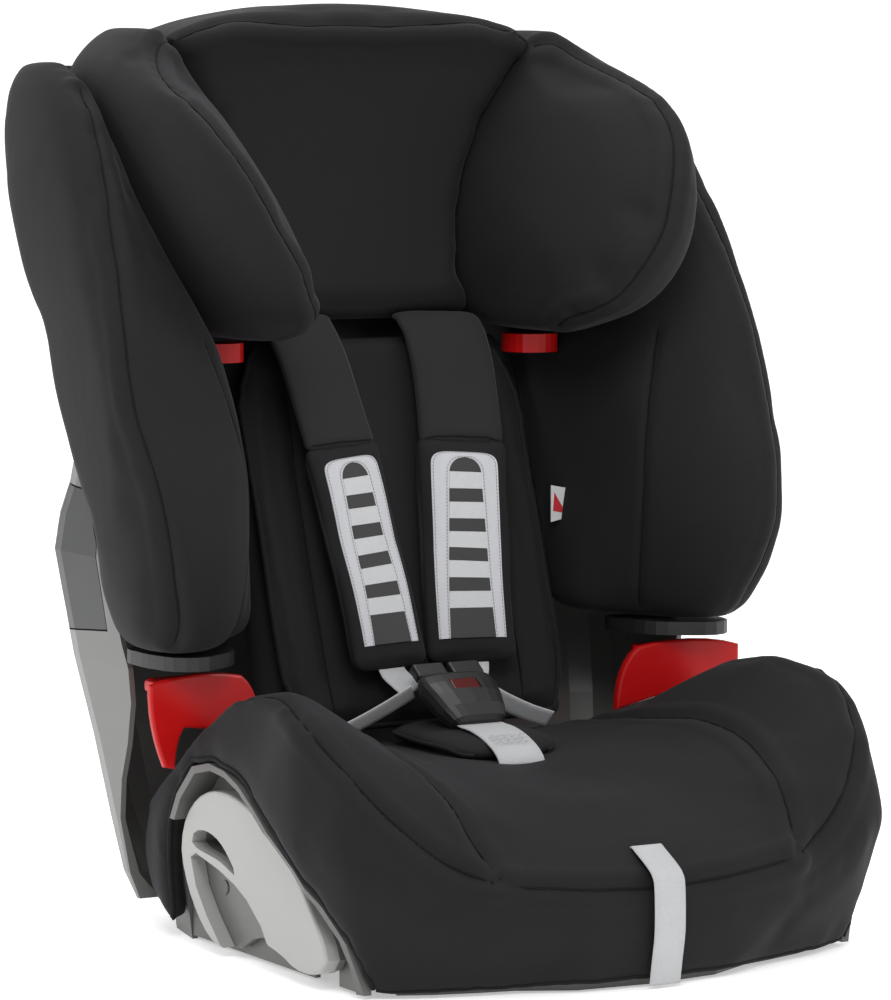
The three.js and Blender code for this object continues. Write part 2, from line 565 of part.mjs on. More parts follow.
// ---------- harness on the backrest ----------
const padAcross = v(0.974, -0.22, -0.04).normalize();
const chestPath = [v(51.5, 132, 360), v(47.5, 123.5, 330), v(43.5, 113.5, 292), v(39, 103, 258), v(36,
    92.5, 222),
  v(34.5, 85.5, 200)];
const sleevePath = [v(55, 170, 456), v(55, 161, 440), v(54, 149, 410), v(52.5, 137.5, 376), v(52, 134,
    364.5)];
const strapPath = [v(55, 179, 458), ...sleevePath.slice(0, 4), ...chestPath, v(28, 79, 194)];
const offsetPath = (path, distance) => path.map((p, i) => {
  const a = path[Math.max(i - 1, 0)];
  const b = path[Math.min(i + 1, path.length - 1)];
  return p.clone().addScaledVector(v().crossVectors(v().subVectors(b, a), padAcross).normalize(), distance);
});
const PAD_T = 12;
const strapRoom = solid(ribbon(strapPath, STRAP_W + 4, 4, { across: padAcross, steps: 26 }));
const chestPad = solid(ribbon(chestPath, 68, PAD_T, { across: padAcross, steps: 10, round: 3.5 }))
    .subtract(strapRoom);
const sleeve = solid(ribbon(sleevePath, 66, 9, { across: padAcross, steps: 8, round: 3 }))
    .subtract(strapRoom);
addPair('chest_pad', 'fabric_charcoal', chestPad);
addPair('strap_sleeve', 'fabric_charcoal', sleeve);
const trimPath = offsetPath(chestPath, PAD_T / 2 + 1);
trimPath[0].lerp(trimPath[1], 0.2);
trimPath[5].lerp(trimPath[4], 0.45);
addPair('pad_trim', 'reflective_trim', ribbon(trimPath, 50, 1.2, { across: padAcross, steps: 10 }));
addPair('shoulder_strap', 'webbing_silver', ribbon(strapPath, STRAP_W, STRAP_T, { across: padAcross,
    steps: 26 }));
const lapPath = [v(30, 66.5, 184), v(48, 69, 174), v(72, 71, 163), v(92, 71, 156)];
addPair('lap_strap', 'webbing_silver', ribbon(lapPath, 14, STRAP_T, { across: v(0, -0.5, 0.86),
    steps: 6 }));
const tagOutline = [[126.8, 300], [137, 312], [126.8, 322]];
add('side_tag', 'label_white', plate(tagOutline, 'y', 126, 127));

// ---------- front adjuster ----------
let adjuster = solid(block([0, -204, 98.5], [59, 8.4, 12], 1));
adjuster = adjuster.subtract(solid(block([0, -204, 98.5], [29, 5.6, 30])));
add('adjuster_frame', 'plastic_black', adjuster);
add('adjuster_lever', 'steel', block([0, -202.7, 101.5], [26, 2, 15]));
const tailPath = [v(0, -205.8, 94), v(0, -205.9, 105.5), v(0, -207.5, 108.6), v(0, -213, 105.6), v(0,
    -228, 97.2),
  v(0, -234.5, 92), v(0, -237.3, 84), v(0, -238, 55), v(0, -234, 34), v(0, -230.5, 17)];
add('adjuster_strap', 'webbing_silver', ribbon(tailPath, STRAP_W, STRAP_T, { steps: 22 }));

// ---------- headrest ----------
const creaseX = [[447, 98], [460, 94], [480, 88], [520, 92], [560, 105], [600, 122], [640, 148],
  [662, 158], [672, 152], [686, 110]];
const headFrontY = [[447, 188], [453, 184], [480, 190], [520, 201], [570, 213], [620, 216], [648, 210],
  [664, 200], [676, 195], [686, 214]];
const HEAD_REAR = 34;
function headRing(z, shrink = 0) {
  const [w, f] = [table(creaseX, z) - shrink, table(headFrontY, z) + shrink];
  const r = backY(z) + HEAD_REAR - shrink;
  const droop = table([[667, 0], [686, 9]], z);
  const half = [[0, f], [w * 0.55, f - 1], [w * 0.85, f - 3], [w, f - 5], [w, r - 8], [w - 8, r],
    [0, r]];
  return wholeRing(half.map(([x, y]) => v(x, y, z - droop * (x / 110) ** 2)));
}
add('headrest_pad', 'fabric_black', loft([headRing(447, 3), ...[453, 480, 520, 560, 600, 640, 662,
    676].map((z) => headRing(z)),
  headRing(686, 6)]));

const earSeamX = [[446, 112], [452, 104], [456, 108], [462, 114], [480, 130], [502, 143], [526, 157],
  [553, 169], [579, 181], [593, 187], [613, 193], [630, 196], [640, 191], [655, 172], [666, 160]];
const earSeamY = [[446, 84], [452, 64], [456, 50], [462, 37], [471, 27], [480, 21], [502, 13],
  [526, 16], [553, 25], [579, 40], [593, 51], [613, 75], [630, 109], [640, 139], [647, 160], [655, 178],
  [666, 188]];
const earOuterX = [[442, 146], [460, 168], [480, 182], [500, 191], [525, 202], [550, 209], [580, 214],
  [610, 217], [635, 212], [655, 194], [668, 176]];
function earRing(z) {
  const [w, sx, sy, o] = [creaseX, earSeamX, earSeamY, earOuterX].map((rows) => table(rows, z));
  const yIn = table(headFrontY, z) - 6;
  const r = backY(z) + HEAD_REAR;
  const front = Math.min(sy + 14, yIn - 8);
  return [[w + GAP, yIn], [w + 0.34 * (sx - w) - 4, yIn - 0.34 * (yIn - sy)],
      [w + 0.72 * (sx - w) - 5, sy + 0.3 * (yIn - sy)],
    [sx - 5, sy + 6], [sx, sy], [sx + 0.55 * (o - 6 - sx), sy + 1], [o - 8, front], [o, front + 30],
        [o + 1, (front + 30 + r) / 2],
    [o - 2, r - 14], [o - 14, r], [w + GAP, r]].map(([x, y]) => v(x, y, z));
}
const earLevels = [453, 460, 468, 480, 502, 520, 540, 560, 579, 600, 620, 640, 652, 662];
const ear = loft([shrunkRing(earRing(448), 443, 0.7), ...earLevels.map((z) => earRing(z)),
  shrunkRing(earRing(666), 670, 0.8)]);
addPair('headrest_wing', 'fabric_black', ear);

// Carrier plate of the headrest, sliding on the two guide rods.
const carrierOutline = [[-104, 300], [104, 300], [116, 460], [128, 560], [140, 640], [120, 660],
  [-120, 660], [-140, 640], [-128, 560], [-116, 460]];
const lean = new THREE.Matrix4().set(1, 0, 0, 0, 0, 1, Math.tan(TILT), 0, 0, 0, 1, 0, 0, 0, 0, 1);
const carrierPlate = plate(carrierOutline, 'y', backY(0) + CARRIER_FRONT, backY(0) + CARRIER_REAR);
let carrier = solid(carrierPlate.applyMatrix4(lean));
for (const side of [-1, 1]) {
  const sleeveAt = rodAt(side * ROD_X, 375);
  const bearing = placed(block([0, 0, 0], [20, 80, 17]), sleeveAt, UP, OUT);
  carrier = carrier.add(solid(bearing));
}
for (const side of [-1, 1]) {
  carrier = carrier.subtract(solid(rod(rodAt(side * ROD_X, 300), rodAt(side * ROD_X, 470), ROD_R + GAP)));
  carrier = carrier.subtract(solid(block([side * 55, 240, 462], [STRAP_W + 8, 60, 10])));
}
add('headrest_carrier', 'plastic_black', carrier);

// Shoulder belt guides under the headrest wings.
const beltGuide = new THREE.Shape();
beltGuide.moveTo(116, 182);
beltGuide.bezierCurveTo(112, 168, 116, 152, 130, 150);
beltGuide.bezierCurveTo(142, 148, 150, 152, 152, 160);
beltGuide.bezierCurveTo(144, 160, 136, 162, 131, 168);
beltGuide.bezierCurveTo(128, 174, 130, 178, 132, 184);
beltGuide.lineTo(116, 182);
addPair('shoulder_belt_guide', 'guide_red', plate(beltGuide, 'z', 424, 438));

// Height release: a grip behind the top of the headrest, its link and its lock bar.
const linkDepth = backY(0) + CARRIER_REAR + GAP;
const linkOutline = [[-7, 402], [7, 402], [7, 678], [-7, 678]];
const link = solid(plate(linkOutline, 'y', linkDepth, linkDepth + 2.5).applyMatrix4(lean));
const lockAt = v(0, backY(436) + ROD_DEPTH + ROD_R + 5, 436);
const lockArm = placed(block([0, 0, 0], [14, 8, 12]), v(0, backY(436) + 53.4, 436), UP, OUT);
const grip = placed(block([0, 0, 0], [90, 20, 14], 4), v(0, backY(670) + 56, 670), UP, OUT);
add('height_grip', 'plastic_black', solid(grip));
add('height_link', 'steel', link.add(solid(lockArm)));
add('height_lock_bar', 'steel', placed(block([0, 0, 0], [150, 7, 4]), lockAt, UP, OUT));

export default seat;
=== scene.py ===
"""Child car seat: fabric, webbing, plastics, camera and light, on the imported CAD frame. Metres."""
import json
import math
import bmesh
import bpy
from mathutils import Matrix, Vector
from mathutils.bvhtree import BVHTree
from mathutils.geometry import interpolate_bezier


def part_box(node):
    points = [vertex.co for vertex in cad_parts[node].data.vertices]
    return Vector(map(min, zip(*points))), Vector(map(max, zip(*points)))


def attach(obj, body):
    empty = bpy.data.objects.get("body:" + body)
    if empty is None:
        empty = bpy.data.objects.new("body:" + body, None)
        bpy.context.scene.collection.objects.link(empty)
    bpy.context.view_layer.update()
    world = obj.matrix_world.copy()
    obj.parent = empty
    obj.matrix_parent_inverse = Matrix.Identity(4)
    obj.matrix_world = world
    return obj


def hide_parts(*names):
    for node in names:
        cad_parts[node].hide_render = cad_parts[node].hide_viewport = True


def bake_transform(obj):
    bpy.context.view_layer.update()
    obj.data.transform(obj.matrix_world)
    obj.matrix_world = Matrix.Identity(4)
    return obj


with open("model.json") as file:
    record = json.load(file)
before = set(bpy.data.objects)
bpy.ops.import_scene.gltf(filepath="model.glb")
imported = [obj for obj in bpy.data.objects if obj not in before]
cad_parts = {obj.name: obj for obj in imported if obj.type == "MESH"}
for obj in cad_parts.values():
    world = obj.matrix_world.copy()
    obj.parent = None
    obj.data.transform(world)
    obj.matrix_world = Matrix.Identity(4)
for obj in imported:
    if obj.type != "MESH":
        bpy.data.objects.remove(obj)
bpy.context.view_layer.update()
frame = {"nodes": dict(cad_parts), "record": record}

NODES = frame["nodes"]
RIGHT = Vector((1.0, 0.0, 0.0))
TILT = math.radians(18.6)
CLOTH_FRAMES = 20         # length of the cloth simulation
PAD_ACROSS = Vector((0.974, -0.22, -0.04)).normalized()
SIDES = (("right", 1.0), ("left", -1.0))


# ---------- node helpers for materials ----------
def new_material(name, base, roughness, metallic=0.0, **inputs):
    material = bpy.data.materials.new(name)
    material.use_nodes = True
    shader = material.node_tree.nodes["Principled BSDF"]
    shader.inputs["Base Color"].default_value = (*base, 1.0)
    shader.inputs["Roughness"].default_value = roughness
    shader.inputs["Metallic"].default_value = metallic
    for key, value in inputs.items():
        shader.inputs[key.replace("_", " ")].default_value = value
    return material, material.node_tree.nodes, material.node_tree.links, shader


def texture(nodes, links, kind, coordinate, scale, stretch=(1, 1, 1), turn=(0, 0, 0), **settings):
    mapping = nodes.new("ShaderNodeMapping")
    mapping.inputs["Scale"].default_value = stretch
    mapping.inputs["Rotation"].default_value = turn
    source = nodes.new("ShaderNodeTexCoord")
    links.new(source.outputs[coordinate], mapping.inputs["Vector"])
    node = nodes.new(f"ShaderNodeTex{kind}")
    links.new(mapping.outputs["Vector"], node.inputs["Vector"])
    node.inputs["Scale"].default_value = scale
    for key, value in settings.items():
        if key in node.inputs:
            node.inputs[key].default_value = value
        else:
            setattr(node, key, value)
    return node.outputs[0]


def mixed(nodes, links, factor, low, high):
    blend = nodes.new("ShaderNodeMix")
    blend.data_type = "RGBA"
    links.new(factor, blend.inputs[0])
    for socket, value in ((blend.inputs[6], low), (blend.inputs[7], high)):
        if isinstance(value, tuple):
            socket.default_value = (*value, 1.0)
        else:
            links.new(value, socket)
    return blend.outputs[2]


def math_node(nodes, links, operation, a, b):
    node = nodes.new("ShaderNodeMath")
    node.operation = operation
    for socket, value in zip(node.inputs, (a, b)):
        if isinstance(value, (int, float)):
            socket.default_value = value
        else:
            links.new(value, socket)
    return node.outputs[0]


def ranged(nodes, links, factor, low, high):
    node = nodes.new("ShaderNodeMapRange")
    links.new(factor, node.inputs["Value"])
    node.inputs["To Min"].default_value = low
    node.inputs["To Max"].default_value = high
    return node.outputs["Result"]


def bump(nodes, links, shader, height, strength, distance, below=None):
    node = nodes.new("ShaderNodeBump")
    node.inputs["Strength"].default_value = strength
    node.inputs["Distance"].default_value = distance
    links.new(height, node.inputs["Height"])
    if below is not None:
        links.new(below, node.inputs["Normal"])
    links.new(node.outputs["Normal"], shader.inputs["Normal"])
    return node.outputs["Normal"]


def knit(name, dark, light, loop=900.0, sheen=0.05, roughness=0.8, wrinkles=0.16):
    """Soft jersey: fine loops, slow colour drift and faint wrinkles."""
    material, nodes, links, shader = new_material(name, dark, roughness, Sheen_Weight=sheen,
                                                  Sheen_Roughness=0.4, Specular_IOR_Level=0.22)
    shader.inputs["Sheen Tint"].default_value = (0.8, 0.82, 0.88, 1.0)
    drift = texture(nodes, links, "Noise", "Object", 14.0, Detail=4.0)
    links.new(mixed(nodes, links, drift, dark, light), shader.inputs["Base Color"])
    links.new(ranged(nodes, links, drift, roughness - 0.06, roughness + 0.08), shader.inputs["Roughness"])
    wrinkle = texture(nodes, links, "Noise", "Object", 20.0, stretch=(1, 1, 0.45), Detail=2.5,
                      Distortion=0.5)
    first = bump(nodes, links, shader, wrinkle, wrinkles, 0.005)
    loops = texture(nodes, links, "Voronoi", "Object", loop, Randomness=0.75)
    bump(nodes, links, shader, loops, 0.22, 0.0004, below=first)
    return material


def woven(name, dark, light, ribs=26.0, picks=1.0, roughness=0.6, sheen=0.15):
    """Webbing: ribs along the strap and a herringbone of picks across it, from its own UV."""
    material, nodes, links, shader = new_material(name, light, roughness, Sheen_Weight=sheen,
                                                  Sheen_Roughness=0.4, Specular_IOR_Level=0.4)
    along = texture(nodes, links, "Wave", "UV", ribs, stretch=(1, 0, 0), bands_direction="X",
                    Distortion=0.0)
    across = texture(nodes, links, "Wave", "UV", ribs * picks, stretch=(0.35, 1, 0),
                     bands_direction="DIAGONAL", Distortion=0.3)
    cell = math_node(nodes, links, "MULTIPLY", along, across)
    fibre = texture(nodes, links, "Noise", "Object", 900.0, Detail=3.0)
    tone = math_node(nodes, links, "ADD", math_node(nodes, links, "MULTIPLY", cell, 0.7),
                     math_node(nodes, links, "MULTIPLY", fibre, 0.4))
    links.new(mixed(nodes, links, tone, dark, light), shader.inputs["Base Color"])
    bump(nodes, links, shader, tone, 0.5, 0.0006)
    return material


def moulded(name, base, tint, roughness, grain=1400.0, depth=0.00012, **inputs):
    """Moulded plastic: fine spark grain, slow tone drift, slightly worn roughness."""
    material, nodes, links, shader = new_material(name, base, roughness, **inputs)
    drift = texture(nodes, links, "Noise", "Object", 9.0, Detail=3.0)
    links.new(mixed(nodes, links, drift, base, tint), shader.inputs["Base Color"])
    links.new(ranged(nodes, links, drift, roughness - 0.05, roughness + 0.07), shader.inputs["Roughness"])
    spark = texture(nodes, links, "Noise", "Object", grain, Detail=2.0)
    bump(nodes, links, shader, spark, 0.3, depth)
    return material


def brushed(name):
    material, nodes, links, shader = new_material(name, (0.55, 0.56, 0.58), 0.3, 1.0)
    lines = texture(nodes, links, "Noise", "Object", 60.0, stretch=(1, 30, 1), Detail=4.0)
    links.new(ranged(nodes, links, lines, 0.22, 0.42), shader.inputs["Roughness"])
    bump(nodes, links, shader, lines, 0.1, 0.0002)
    return material


def recess_shaded(name, face, painted_web_shade, roughness, edge):
    """Moulding with painted shade: everything nearer the mirror plane than edge has a darker colour, which
    is painted shade on the recessed web and in the gap around it.
    """
    material = moulded(name, face, tuple(c * 1.1 for c in face), roughness)
    nodes, links = material.node_tree.nodes, material.node_tree.links
    shader = nodes["Principled BSDF"]
    face_colour = shader.inputs["Base Color"].links[0].from_socket
    source = nodes.new("ShaderNodeTexCoord")
    split = nodes.new("ShaderNodeSeparateXYZ")
    links.new(source.outputs["Object"], split.inputs[0])
    reach = math_node(nodes, links, "ABSOLUTE", split.outputs[0], 0.0)
    # inside edge the colour is painted shade for the recess, not a second plastic colour
    outside = math_node(nodes, links, "GREATER_THAN", reach, edge)
    links.new(mixed(nodes, links, outside, painted_web_shade, face_colour), shader.inputs["Base Color"])
    return material


M = {
    "black": knit("Black jersey", (0.0062, 0.0061, 0.0070), (0.0098, 0.0097, 0.0108)),
    "mesh": knit("Black spacer mesh", (0.0060, 0.0060, 0.0068), (0.0100, 0.0100, 0.0112), loop=620.0,
                 sheen=0.04),
    "charcoal": knit("Charcoal velour", (0.012, 0.012, 0.012), (0.018, 0.018, 0.018), loop=1300.0,
                     sheen=0.10, wrinkles=0.08),
    "rubber": moulded("Grip rubber", (0.016, 0.0165, 0.016), (0.022, 0.0225, 0.022), 0.6, grain=700.0,
                      depth=0.0003),
    "piping": knit("Black piping", (0.004, 0.004, 0.0045), (0.008, 0.008, 0.0085), loop=1500.0,
                   sheen=0.04),
    "thread_dark": knit("Seam thread", (0.0015, 0.0015, 0.0018), (0.003, 0.003, 0.0033), loop=2200.0,
                        sheen=0.0),
    "thread_light": knit("Light thread", (0.42, 0.42, 0.43), (0.55, 0.55, 0.56), loop=2600.0, sheen=0.0),
    "thread_grey": knit("Grey thread", (0.16, 0.16, 0.17), (0.24, 0.24, 0.25), loop=2600.0, sheen=0.0),
    "silver": woven("Silver webbing", (0.34, 0.345, 0.355), (0.66, 0.665, 0.68)),
    "ribbon": woven("Silver ribbon", (0.42, 0.425, 0.44), (0.74, 0.745, 0.76)),
    "trim": woven("Reflective trim", (0.50, 0.505, 0.53), (0.64, 0.645, 0.67), ribs=40.0, roughness=0.45),
    "plastic_black": moulded("Black plastic", (0.007, 0.007, 0.0075), (0.010, 0.010, 0.0105), 0.46),
    "shell": moulded("Grey shell plastic", (0.112, 0.113, 0.109), (0.130, 0.131, 0.126), 0.36,
                     Coat_Weight=0.05),
    "panel": moulded("Grey base plastic", (0.095, 0.096, 0.092), (0.112, 0.113, 0.108), 0.45),
    "insert": moulded("Dark side insert plastic", (0.012, 0.013, 0.013), (0.017, 0.018, 0.018), 0.42),
    # foot: light grey face; its darker second colour is painted shade on the recessed web and in the gap
    # around it
    "foot": recess_shaded("Light grey foot plastic", (0.31, 0.314, 0.302), (0.12, 0.122, 0.116), 0.34, 0.2032),
    "red": moulded("Red guide plastic", (0.40, 0.004, 0.005), (0.46, 0.006, 0.006), 0.30,
                   depth=0.00003, Specular_IOR_Level=0.25),
    "button": moulded("Red button plastic", (0.06, 0.002, 0.002), (0.08, 0.003, 0.003), 0.3),
    "steel": brushed("Zinc plated steel"),
    "tag_white": woven("Woven tag", (0.52, 0.52, 0.52), (0.66, 0.66, 0.66), ribs=60.0),
    "tag_red": woven("Woven tag red", (0.40, 0.01, 0.02), (0.5, 0.015, 0.02), ribs=60.0),
}
SLOT_MATERIAL = {
    "fabric_black": "black", "fabric_charcoal": "charcoal",
    "webbing_silver": "silver", "reflective_trim": "trim",
    "plastic_black": "plastic_black", "shell_grey": "shell", "panel_grey": "panel", "foot_grey": "foot",
    "guide_red": "red", "steel": "steel", "label_white": "tag_white",
}
NODE_MATERIAL = {
    "buckle_button": "button", "foot_pin_left": "panel", "foot_pin_right": "panel",
    "back_side_insert_left": "insert", "back_side_insert_right": "insert",
}
NODE_SLOT = {entry["node"]: entry["material_slot"] for entry in frame["record"]["subparts"]}


def dress_cad_node(name):
    """A carried-over node: our material and rounded edges, its mesh untouched."""
    node = NODES[name]
    node.data.materials.clear()
    node.data.materials.append(M[NODE_MATERIAL.get(name, SLOT_MATERIAL[NODE_SLOT[name]])])
    for polygon in node.data.polygons:
        polygon.use_smooth = True
    edges = node.modifiers.new("Rounded edges", "BEVEL")
    edges.width = 0.0012
    edges.segments = 2
    edges.limit_method = "ANGLE"
    edges.angle_limit = math.radians(35)
    edges.harden_normals = False
    even = node.modifiers.new("Even normals", "WEIGHTED_NORMAL")
    even.keep_sharp = True


# ---------- mesh helpers ----------
def link(name, mesh, material, body=None, replaces=()):
    piece = bpy.data.objects.new(name, mesh)
    bpy.context.scene.collection.objects.link(piece)
    mesh.materials.clear()
    mesh.materials.append(M[material])
    if replaces:
        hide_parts(*replaces)
    if body:
        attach(piece, body)
    return piece


def smooth_shading(piece):
    for polygon in piece.data.polygons:
        polygon.use_smooth = True


def apply_modifiers(piece):
    depsgraph = bpy.context.evaluated_depsgraph_get()
    done = bpy.data.meshes.new_from_object(piece.evaluated_get(depsgraph))
    old = piece.data
    piece.modifiers.clear()
    piece.data = done
    bpy.data.meshes.remove(old)


def relax(piece, rounds, factor=0.5):
    if rounds == 0:
        return
    work = bmesh.new()
    work.from_mesh(piece.data)
    for _ in range(rounds):
        bmesh.ops.smooth_vert(work, verts=work.verts, factor=factor, use_axis_x=True, use_axis_y=True,
                              use_axis_z=True)
    work.to_mesh(piece.data)
    work.free()


def remeshed_copy(node, voxel):
    piece = bpy.data.objects.new(node + "_soft", NODES[node].data.copy())
    bpy.context.scene.collection.objects.link(piece)
    remesh = piece.modifiers.new("Voxels", "REMESH")
    remesh.mode = "VOXEL"
    remesh.voxel_size = voxel
    apply_modifiers(piece)
    return piece


def inflate(piece, pressure, cap, hold_inside=None):
    """Blender cloth with air pressure, each point moved no further than cap, then applied."""
    if pressure == 0:
        return
    start = [v.co.copy() for v in piece.data.vertices]
    scene = bpy.context.scene
    cloth = piece.modifiers.new("Cloth", "CLOTH")
    settings = cloth.settings
    settings.quality = 4
    settings.mass = 0.3
    settings.tension_stiffness = 18.0
    settings.compression_stiffness = 18.0
    settings.shear_stiffness = 6.0
    settings.bending_stiffness = 1.2
    settings.use_pressure = True
    settings.uniform_pressure_force = pressure
    settings.effector_weights.gravity = 0.0
    cloth.collision_settings.use_collision = False
    cloth.collision_settings.use_self_collision = False
    cloth.point_cache.frame_start = 1
    cloth.point_cache.frame_end = CLOTH_FRAMES
    if hold_inside is not None:
        group = piece.vertex_groups.new(name="held")
        held = [v.index for v in piece.data.vertices if hold_inside(v)]
        group.add(held, 1.0, "REPLACE")
        settings.vertex_group_mass = "held"
    for step in range(1, CLOTH_FRAMES + 1):
        scene.frame_set(step)
    apply_modifiers(piece)
    scene.frame_set(1)
    for vertex, old in zip(piece.data.vertices, start):
        move = vertex.co - old
        if move.length > cap:
            vertex.co = old + move * (cap / move.length)


def subdivide(piece, levels=1):
    finer = piece.modifiers.new("Finer", "SUBSURF")
    finer.levels = levels
    finer.render_levels = levels
    apply_modifiers(piece)


def cushion(node, name, material, voxel=0.006, rounds=10, pressure=4.0, cap=0.007,
            hold_inside=None, shrink=0.0, levels=1):
    piece = remeshed_copy(node, voxel)
    relax(piece, rounds)
    if shrink:
        piece.data.update()
        for vertex, normal in zip(piece.data.vertices, [v.normal.copy() for v in piece.data.vertices]):
            vertex.co -= normal * shrink
    inflate(piece, pressure, cap, hold_inside)
    relax(piece, 2)
    subdivide(piece, levels)
    piece.name = name
    piece.data.name = name
    piece.data.materials.clear()
    piece.data.materials.append(M[material])
    smooth_shading(piece)
    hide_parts(node)
    return piece


def mirrored_cushion(piece, node, name):
    mesh = piece.data.copy()
    mesh.transform(Matrix.Scale(-1.0, 4, RIGHT))
    mesh.flip_normals()
    twin = bpy.data.objects.new(name, mesh)
    bpy.context.scene.collection.objects.link(twin)
    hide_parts(node)
    return twin


def catmull(points, count):
    """Evenly spread points on a smooth curve through the given ones."""
    pts = [Vector(p) for p in points]
    fine = []
    for i in range(len(pts) - 1):
        p0 = pts[max(i - 1, 0)]
        p1, p2 = pts[i], pts[i + 1]
        p3 = pts[min(i + 2, len(pts) - 1)]
        fine += interpolate_bezier(p1, p1 + (p2 - p0) / 6, p2 - (p3 - p1) / 6, p2, 17)[:-1]
    fine.append(pts[-1])
    lengths = [0.0]
    for a, b in zip(fine, fine[1:]):
        lengths.append(lengths[-1] + (b - a).length)
    out = []
    j = 0
    for i in range(count + 1):
        goal = lengths[-1] * i / count
        while j < len(fine) - 2 and lengths[j + 1] < goal:
            j += 1
        span = max(lengths[j + 1] - lengths[j], 1e-9)
        out.append(fine[j].lerp(fine[j + 1], (goal - lengths[j]) / span))
    return out


def surface_tree(piece):
    return BVHTree.FromPolygons([v.co for v in piece.data.vertices],
                                [p.vertices for p in piece.data.polygons])


def snapped(tree, points, lift=0.0):
    out = []
    for p in points:
        place, normal, _, _ = tree.find_nearest(p)
        out.append(place + normal * lift)
    return out


def cord_line(name, points, radius, material, body):
    """Piping or thread: a thin round line through the points."""
    curve = bpy.data.curves.new(name, "CURVE")
    curve.dimensions = "3D"
    curve.bevel_depth = radius
    curve.bevel_resolution = 2
    curve.use_fill_caps = True
    spline = curve.splines.new("POLY")
    spline.points.add(len(points) - 1)
    for target, p in zip(spline.points, points):
        target.co = (*p, 1.0)
    curve.materials.append(M[material])
    piece = bpy.data.objects.new(name, curve)
    bpy.context.scene.collection.objects.link(piece)
    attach(piece, body)
    return piece


def eased(points, rounds):
    """Takes the jitter out of a line and keeps its ends."""
    for _ in range(rounds):
        points = [points[0], *[(a + b * 2 + c) / 4 for a, b, c in zip(points, points[1:], points[2:])],
                  points[-1]]
    return points


def stitched_seam(piece, name, points, body, depth=0.0026, reach=0.007, count=90, line=0.0008, swell=0.0):
    """Pulls the surface in along a line, puffs it slightly beside it, and lays a dark line in the groove."""
    path = eased(snapped(surface_tree(piece), catmull(points, count)), 6)
    tree = BVHTree.FromPolygons([*path, *[p + Vector((0, 0, 1e-5)) for p in path]],
                                [(i, i + 1, len(path) + i + 1, len(path) + i)
                                 for i in range(len(path) - 1)])
    piece.data.update()
    for vertex, normal in zip(piece.data.vertices, [v.normal.copy() for v in piece.data.vertices]):
        hit = tree.find_nearest(vertex.co, reach * 2.5)
        if hit[0] is None:
            continue
        gap = hit[3] / reach
        pull = depth * max(0.0, 1.0 - gap) ** 2
        puff = swell * math.sin(math.pi * min(max((gap - 0.6) / 1.9, 0.0), 1.0))
        vertex.co += normal * (puff - pull)
    piece.data.update()
    tree = surface_tree(piece)
    groove = eased(snapped(tree, path), 8)
    groove = eased(snapped(tree, groove, lift=line * 0.1), 3)
    cord_line(name, groove, line, "thread_dark", body)
    return groove


def section_frames(path, across):
    """Position, direction, side and outward normal at each point of a strap's path."""
    frames = []
    for i, p in enumerate(path):
        ahead = path[min(i + 1, len(path) - 1)]
        behind = path[max(i - 1, 0)]
        along = (ahead - behind).normalized()
        normal = along.cross(across).normalized()
        frames.append((p, along, normal.cross(along).normalized(), normal))
    return frames


def webbing(name, points, width, thickness, material, body, across=RIGHT, replaces=(), steps=40,
            body_two=None):
    """A woven strap with rounded edges and a UV that runs along it."""
    path = catmull(points, steps)
    t, w = thickness / 2, width / 2
    section = [(-w, 0), (-w + t, -t), (-w * 0.5, -t), (0, -t), (w * 0.5, -t), (w - t, -t), (w, 0),
               (w - t, t), (w * 0.5, t), (0, t), (-w * 0.5, t), (-w + t, t)]
    verts, faces = [], []
    n = len(section)
    for p, _, side, normal in section_frames(path, across):
        verts += [p + side * a + normal * b for a, b in section]
    for r in range(len(path) - 1):
        for i in range(n):
            j = (i + 1) % n
            faces.append((r * n + i, r * n + j, (r + 1) * n + j, (r + 1) * n + i))
    faces.append(tuple(range(n))[::-1])
    faces.append(tuple(range((len(path) - 1) * n, len(path) * n)))
    mesh = bpy.data.meshes.new(name)
    mesh.from_pydata(verts, [], faces)
    uv = mesh.uv_layers.new(name="UVMap")
    step = (path[1] - path[0]).length / 0.025
    for loop in mesh.loops:
        ring, place = divmod(loop.vertex_index, n)
        uv.data[loop.index].uv = (section[place][0] / 0.025 + 0.5, ring * step)
    mesh.validate()
    outward = bmesh.new()
    outward.from_mesh(mesh)
    bmesh.ops.recalc_face_normals(outward, faces=outward.faces)
    outward.to_mesh(mesh)
    outward.free()
    piece = link(name, mesh, material, None if body_two else body, replaces)
    smooth_shading(piece)
    if body_two:
        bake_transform(piece)
    return piece


